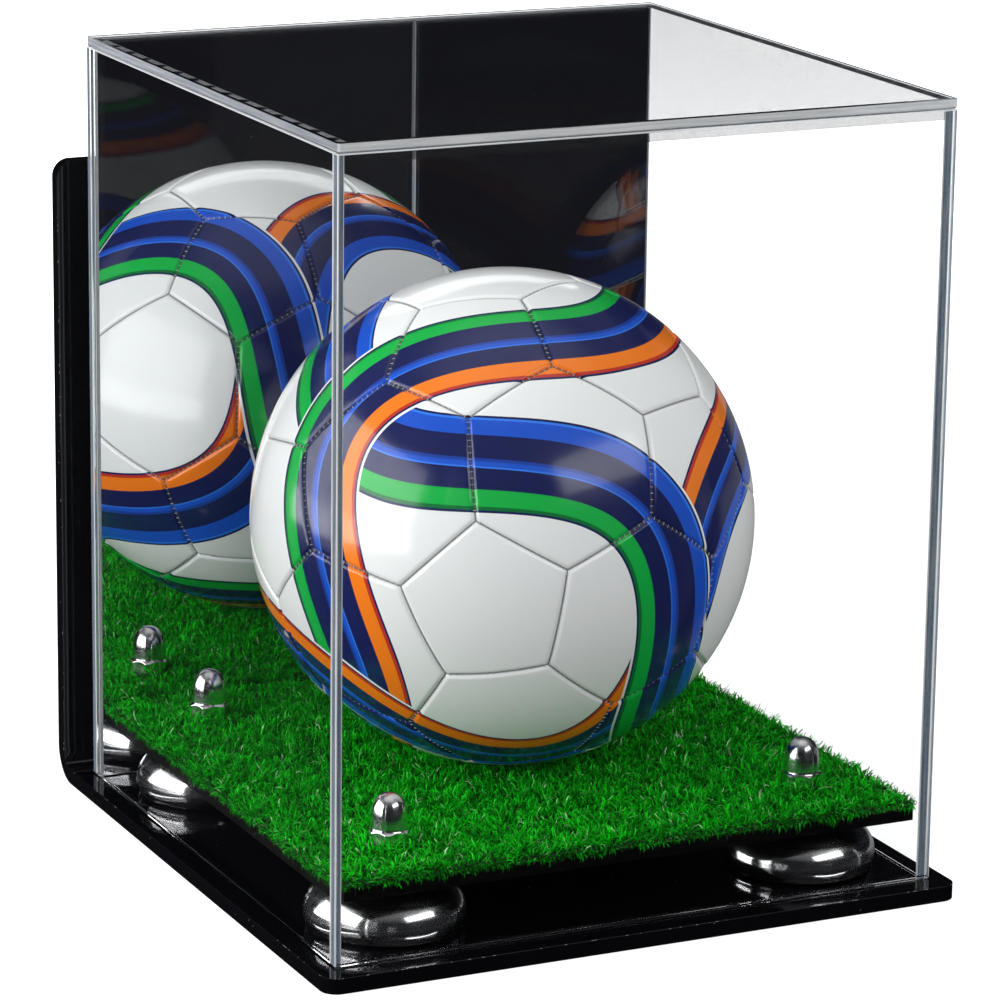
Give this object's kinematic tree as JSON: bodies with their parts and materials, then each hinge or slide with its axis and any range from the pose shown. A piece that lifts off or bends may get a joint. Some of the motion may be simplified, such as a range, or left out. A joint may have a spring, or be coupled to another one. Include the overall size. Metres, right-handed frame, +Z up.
{
  "type": "soccer ball display case",
  "caption": "Wall-mounted clear display case with a mirror back, a bent black base and a turfed platform on chrome risers, holding a soccer ball.",
  "frame": {"origin": "centre of the footprint, on the surface that the base stands on", "axes": "+Z up; the clear front faces -Y; +Y towards the wall; +X to the viewer's right"},
  "size_m": [0.302, 0.3204, 0.355],
  "materials": {
    "black_acrylic": "polished black acrylic sheet",
    "clear_acrylic": "clear cast acrylic with polished edges",
    "mirror": "acrylic mirror sheet",
    "chrome": "polished chrome",
    "zinc_steel": "zinc-plated steel",
    "black_board": "satin black board",
    "turf": "short green artificial turf",
    "ball_skin": "glossy stitched synthetic leather"
  },
  "bodies": {
    "case_base": {"wall_bracket_base": "black_acrylic", "riser_front_left": "chrome", "riser_front_right": "chrome", "riser_rear_left": "chrome", "riser_rear_right": "chrome", "bolt_front_left": "zinc_steel", "bolt_front_right": "zinc_steel", "bolt_rear_left": "zinc_steel", "bolt_rear_right": "zinc_steel", "cap_nut_front_left": "chrome", "cap_nut_front_right": "chrome", "cap_nut_rear_left": "chrome", "cap_nut_rear_right": "chrome", "turf_board": "black_board", "turf_mat": "turf"},
    "cover": {"cover_front": "clear_acrylic", "cover_back": "clear_acrylic", "cover_left": "clear_acrylic", "cover_right": "clear_acrylic", "cover_top": "clear_acrylic", "mirror_sheet": "mirror"},
    "ball": {"soccer_ball": "ball_skin"}
  },
  "joints": [
    {"name": "cover_lift", "type": "slide", "parent": "case_base", "child": "cover", "axis": [0, 0, 1], "range_m": [0, 0.28]},
    {"name": "ball_turn", "type": "hinge", "parent": "case_base", "child": "ball", "pos_m": [0, -0.0079, 0.1528], "axis": [0, 0, 1], "continuous": true}
  ]
}
